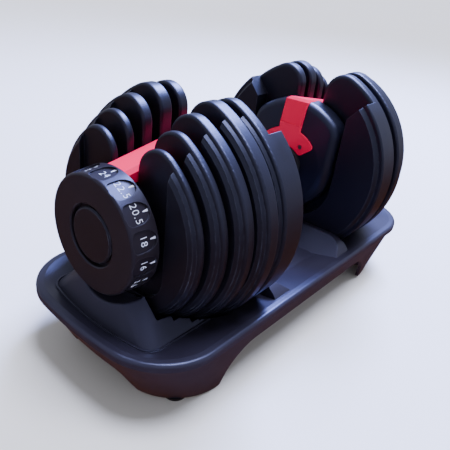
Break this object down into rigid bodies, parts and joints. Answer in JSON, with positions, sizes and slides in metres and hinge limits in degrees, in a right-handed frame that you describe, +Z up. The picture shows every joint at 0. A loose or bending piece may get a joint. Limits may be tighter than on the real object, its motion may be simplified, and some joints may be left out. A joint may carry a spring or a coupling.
{
  "type": "adjustable dumbbell",
  "caption": "Dial-select adjustable dumbbell with slotted black plates and a numbered dial at each end, resting in a moulded storage tray.",
  "frame": {"origin": "floor level under the middle of the tray", "axes": "+X along the dumbbell's axle, +Y across it, +Z up; the stored dials both read their heaviest setting"},
  "size_m": [0.438, 0.204, 0.2308],
  "materials": {
    "tray_plastic": "satin black moulded plastic",
    "pad_rubber": "matt black rubber",
    "plate_coat": "cast iron in a satin black moulded coat",
    "steel": "plain machined steel",
    "spring_steel": "spring wire",
    "grip_rubber": "matt black textured rubber",
    "housing_plastic": "satin black moulded plastic",
    "bridge_red": "matt red moulded plastic",
    "dial_plastic": "matt black moulded plastic",
    "cap_plastic": "satin black moulded plastic",
    "selector_plastic": "dark grey nylon"
  },
  "bodies": {
    "tray_body": {"tray": "tray_plastic", "tray_feet": "pad_rubber"},
    "handle_body": {"axle": "steel", "axle_screws": "steel", "axle_washers": "steel", "handle_tube": "steel", "grip": "grip_rubber", "bridge_screws": "steel", "cover_screws": "steel", "housing_left": "housing_plastic", "housing_cover_left": "housing_plastic", "bridge_left": "bridge_red", "lock_spring_left": "spring_steel", "housing_right": "housing_plastic", "housing_cover_right": "housing_plastic", "bridge_right": "bridge_red", "lock_spring_right": "spring_steel"},
    "lock_body_left": {"lock_pin_left": "steel"},
    "dial_body_left": {"dial_left": "dial_plastic", "dial_cap_left": "cap_plastic", "selector_sleeve_left": "steel", "index_ring_left": "selector_plastic", "selector_disc_left_1": "selector_plastic", "selector_disc_left_2": "selector_plastic", "selector_disc_left_3": "selector_plastic", "selector_disc_left_4": "selector_plastic", "selector_disc_left_5": "selector_plastic"},
    "plate_body_left_1": {"plate_left_1": "plate_coat", "hanger_left_1": "steel"},
    "plate_body_left_2": {"plate_left_2": "plate_coat", "hanger_left_2": "steel"},
    "plate_body_left_3": {"plate_left_3": "plate_coat", "hanger_left_3": "steel"},
    "plate_body_left_4": {"plate_left_4": "plate_coat", "hanger_left_4": "steel"},
    "plate_body_left_5": {"plate_left_5": "plate_coat", "hanger_left_5": "steel"},
    "lock_body_right": {"lock_pin_right": "steel"},
    "dial_body_right": {"dial_right": "dial_plastic", "dial_cap_right": "cap_plastic", "selector_sleeve_right": "steel", "index_ring_right": "selector_plastic", "selector_disc_right_1": "selector_plastic", "selector_disc_right_2": "selector_plastic", "selector_disc_right_3": "selector_plastic", "selector_disc_right_4": "selector_plastic", "selector_disc_right_5": "selector_plastic"},
    "plate_body_right_1": {"plate_right_1": "plate_coat", "hanger_right_1": "steel"},
    "plate_body_right_2": {"plate_right_2": "plate_coat", "hanger_right_2": "steel"},
    "plate_body_right_3": {"plate_right_3": "plate_coat", "hanger_right_3": "steel"},
    "plate_body_right_4": {"plate_right_4": "plate_coat", "hanger_right_4": "steel"},
    "plate_body_right_5": {"plate_right_5": "plate_coat", "hanger_right_5": "steel"}
  },
  "joints": [
    {"name": "handle_lift", "type": "slide", "parent": "tray_body", "child": "handle_body", "axis": [0, 0, 1], "range_m": [0, 0.2]},
    {"name": "dial_turn_left", "type": "hinge", "parent": "handle_body", "child": "dial_body_left", "pos_m": [-0.176, 0, 0.136], "axis": [-1, 0, 0], "range_deg": [0, 336]},
    {"name": "dial_turn_right", "type": "hinge", "parent": "handle_body", "child": "dial_body_right", "pos_m": [0.176, 0, 0.136], "axis": [1, 0, 0], "range_deg": [0, 336]},
    {"name": "lock_drop_left", "type": "slide", "parent": "handle_body", "child": "lock_body_left", "axis": [0, 0, 1], "range_m": [-0.004, 0], "deforming": ["lock_spring_left"]},
    {"name": "lock_drop_right", "type": "slide", "parent": "handle_body", "child": "lock_body_right", "axis": [0, 0, 1], "range_m": [-0.004, 0], "deforming": ["lock_spring_right"]},
    {"name": "plate_lift_left_1", "type": "slide", "parent": "tray_body", "child": "plate_body_left_1", "axis": [0, 0, 1], "range_m": [0, 0.2]},
    {"name": "plate_lift_left_2", "type": "slide", "parent": "tray_body", "child": "plate_body_left_2", "axis": [0, 0, 1], "range_m": [0, 0.2]},
    {"name": "plate_lift_left_3", "type": "slide", "parent": "tray_body", "child": "plate_body_left_3", "axis": [0, 0, 1], "range_m": [0, 0.2]},
    {"name": "plate_lift_left_4", "type": "slide", "parent": "tray_body", "child": "plate_body_left_4", "axis": [0, 0, 1], "range_m": [0, 0.2]},
    {"name": "plate_lift_left_5", "type": "slide", "parent": "tray_body", "child": "plate_body_left_5", "axis": [0, 0, 1], "range_m": [0, 0.2]},
    {"name": "plate_lift_right_1", "type": "slide", "parent": "tray_body", "child": "plate_body_right_1", "axis": [0, 0, 1], "range_m": [0, 0.2]},
    {"name": "plate_lift_right_2", "type": "slide", "parent": "tray_body", "child": "plate_body_right_2", "axis": [0, 0, 1], "range_m": [0, 0.2]},
    {"name": "plate_lift_right_3", "type": "slide", "parent": "tray_body", "child": "plate_body_right_3", "axis": [0, 0, 1], "range_m": [0, 0.2]},
    {"name": "plate_lift_right_4", "type": "slide", "parent": "tray_body", "child": "plate_body_right_4", "axis": [0, 0, 1], "range_m": [0, 0.2]},
    {"name": "plate_lift_right_5", "type": "slide", "parent": "tray_body", "child": "plate_body_right_5", "axis": [0, 0, 1], "range_m": [0, 0.2]}
  ],
  "couplings": [
    {"joint": "lock_drop_left", "follows": "handle_lift", "ratio": -0.02},
    {"joint": "lock_drop_right", "follows": "handle_lift", "ratio": -0.02},
    {"joint": "plate_lift_left_1", "follows": "handle_lift", "ratio": 1},
    {"joint": "plate_lift_left_2", "follows": "handle_lift", "ratio": 1},
    {"joint": "plate_lift_left_3", "follows": "handle_lift", "ratio": 1},
    {"joint": "plate_lift_left_4", "follows": "handle_lift", "ratio": 1},
    {"joint": "plate_lift_left_5", "follows": "handle_lift", "ratio": 1},
    {"joint": "plate_lift_right_1", "follows": "handle_lift", "ratio": 1},
    {"joint": "plate_lift_right_2", "follows": "handle_lift", "ratio": 1},
    {"joint": "plate_lift_right_3", "follows": "handle_lift", "ratio": 1},
    {"joint": "plate_lift_right_4", "follows": "handle_lift", "ratio": 1},
    {"joint": "plate_lift_right_5", "follows": "handle_lift", "ratio": 1}
  ]
}
